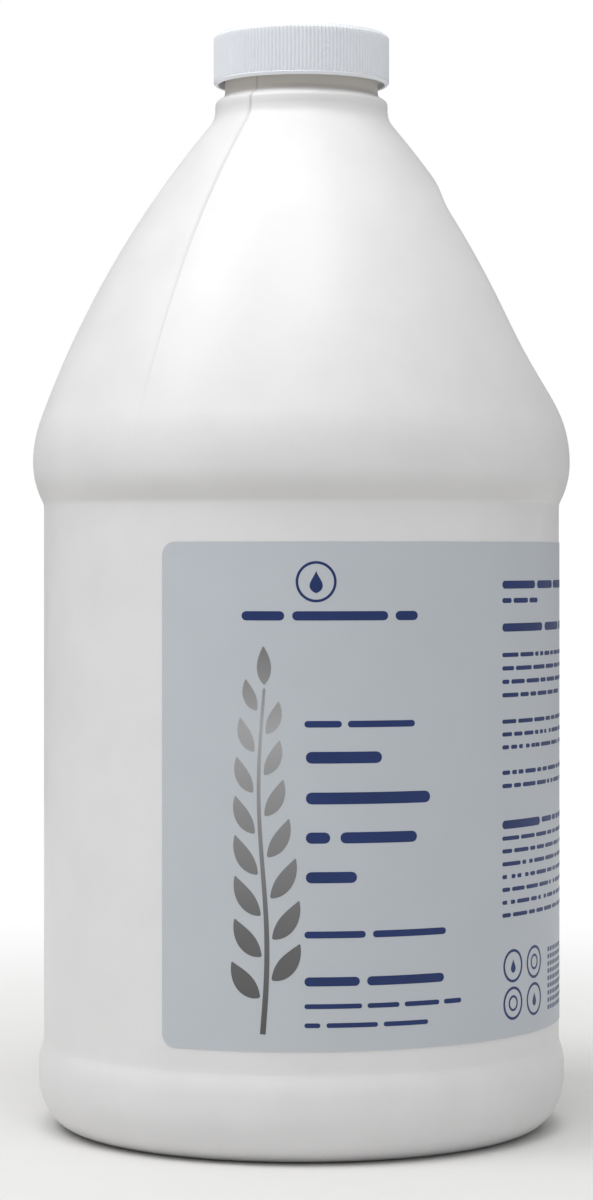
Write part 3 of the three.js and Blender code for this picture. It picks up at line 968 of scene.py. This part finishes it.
cap_plastic = plastic("cap_plastic", (0.825, 0.85, 0.89), (0.805, 0.83, 0.87), 0.30, 0.04,
                      [(500, 0.010), (2600, 0.003)], specular=0.5, scuffs=0.06)
liner_foam = plastic("liner_foam", (0.80, 0.78, 0.72), (0.74, 0.72, 0.66), 0.75, 0.08,
                     [(1800, 0.05)], specular=0.2)
label_stock = plastic("label_stock", (0.545, 0.58, 0.62), (0.53, 0.565, 0.605), 0.42, 0.04,
                      [(420, 0.012), (2400, 0.004)], specular=0.45)
navy_ink = plastic("navy_ink", (0.012, 0.034, 0.15), (0.009, 0.026, 0.12), 0.42, 0.05,
                   [(1500, 0.004)], specular=0.4)

build_jug(jug_finish())
build_cap(cap_plastic)
build_liner(liner_foam)
build_label(label_stock, navy_ink, silver_ink())


# ---- Stage ----

def stage_mesh(name, points, faces, material):
    mesh = bpy.data.meshes.new(name)
    mesh.from_pydata((np.asarray(points) * MM).tolist(), [], faces)
    mesh.materials.append(material)
    piece = bpy.data.objects.new(name, mesh)
    bpy.context.scene.collection.objects.link(piece)
    return piece


def backdrop_white():
    material = bpy.data.materials.new("backdrop_white")
    material.use_nodes = True
    nodes = material.node_tree.nodes
    nodes.remove(nodes["Principled BSDF"])
    glow = nodes.new("ShaderNodeEmission")
    glow.inputs["Color"].default_value = (1, 1, 1, 1)
    material.node_tree.links.new(glow.outputs["Emission"], nodes["Material Output"].inputs["Surface"])
    return material


def build_backdrop():
    """A white dome all round, which only the camera sees."""
    rows, columns = 12, 32
    tilt = np.linspace(-0.5 * math.pi, 0.5 * math.pi, rows + 1)[1:-1]
    turn = np.linspace(0, 2 * math.pi, columns, endpoint=False)
    rings = [around(DOME_RADIUS * math.cos(t), turn, DOME_RADIUS * math.sin(t)) for t in tilt]
    points = np.concatenate(rings)
    faces = []
    for row in range(rows - 2):
        for i in range(columns):
            j = (i + 1) % columns
            a, b = row * columns, (row + 1) * columns
            faces.append((a + i, b + i, b + j, a + j))
    faces.append(list(range(columns)))
    faces.append(list(range((rows - 2) * columns, (rows - 1) * columns))[::-1])
    dome = stage_mesh("backdrop", points, faces, backdrop_white())
    dome.visible_diffuse = dome.visible_glossy = dome.visible_shadow = False
    dome.visible_transmission = dome.visible_volume_scatter = False


def sun(name, azimuth, elevation, spread, strength):
    """Soft light from a direction, in degrees."""
    light = bpy.data.lights.new(name, "SUN")
    light.energy = strength
    light.angle = math.radians(spread)
    lamp = bpy.data.objects.new(name, light)
    bpy.context.scene.collection.objects.link(lamp)
    lamp.rotation_euler = (math.radians(90 - elevation), 0, math.radians(azimuth))


def softbox(name, place, aim, side, watts):
    """A square lamp in metres, which the camera doesn't see."""
    light = bpy.data.lights.new(name, "AREA")
    light.size = side
    light.energy = watts
    lamp = bpy.data.objects.new(name, light)
    lamp.visible_camera = False
    bpy.context.scene.collection.objects.link(lamp)
    lamp.location = place
    lamp.rotation_euler = (Vector(aim) - Vector(place)).to_track_quat("-Z", "Y").to_euler()


def floor_paper():
    """Pale paper that fades into the white behind it away from the jug."""
    material = plastic("floor_paper", (0.755, 0.752, 0.745), (0.745, 0.742, 0.735), 0.85, 0.02, [],
                       specular=0.1)
    nodes, links = material.node_tree.nodes, material.node_tree.links
    away = nodes.new("ShaderNodeVectorMath")
    away.operation = "LENGTH"
    links.new(nodes.new("ShaderNodeTexCoord").outputs["Object"], away.inputs[0])
    fade = nodes.new("ShaderNodeMapRange")
    fade.interpolation_type = "SMOOTHSTEP"
    fade.inputs["From Min"].default_value = FLOOR_FADE[0] * MM
    fade.inputs["From Max"].default_value = FLOOR_FADE[1] * MM
    links.new(away.outputs["Value"], fade.inputs["Value"])
    white = nodes.new("ShaderNodeEmission")
    white.inputs["Color"].default_value = (1, 1, 1, 1)
    both = nodes.new("ShaderNodeMixShader")
    links.new(fade.outputs["Result"], both.inputs["Fac"])
    links.new(nodes["Principled BSDF"].outputs["BSDF"], both.inputs[1])
    links.new(white.outputs["Emission"], both.inputs[2])
    links.new(both.outputs["Shader"], nodes["Material Output"].inputs["Surface"])
    return material


floor_turn = np.linspace(0, 2 * math.pi, 96, endpoint=False)
stage_mesh("floor", around(FLOOR_RADIUS, floor_turn, 0), [list(range(96))], floor_paper())
build_backdrop()
sun("top", 0, 88, 80, 1.2)
softbox("key", (-0.5, -0.2, 0.85), (0, 0, 0.2), 0.4, 2.55)
softbox("front", (0, -0.35, 0.9), (0, 0, 0.2), 0.4, 2.1)

world = bpy.data.worlds.new("studio")
bpy.context.scene.world = world
world.use_nodes = True
world.node_tree.nodes["Background"].inputs["Color"].default_value = (1, 1, 1, 1)
world.node_tree.nodes["Background"].inputs["Strength"].default_value = 0.335
bpy.context.scene.view_settings.view_transform = "Standard"

# ---- Camera ----

camera_data = bpy.data.cameras.new("camera")
camera_data.sensor_width = 36
camera_data.lens = CAMERA["lens"]
camera_data.shift_x = CAMERA["shift_x"]
camera_data.shift_y = CAMERA["shift_y"]
camera = bpy.data.objects.new("camera", camera_data)
camera.location = (0, -CAMERA["distance"] * MM, CAMERA["height"] * MM)
camera.rotation_euler = (math.pi / 2, 0, 0)
bpy.context.scene.collection.objects.link(camera)
bpy.context.scene.camera = camera
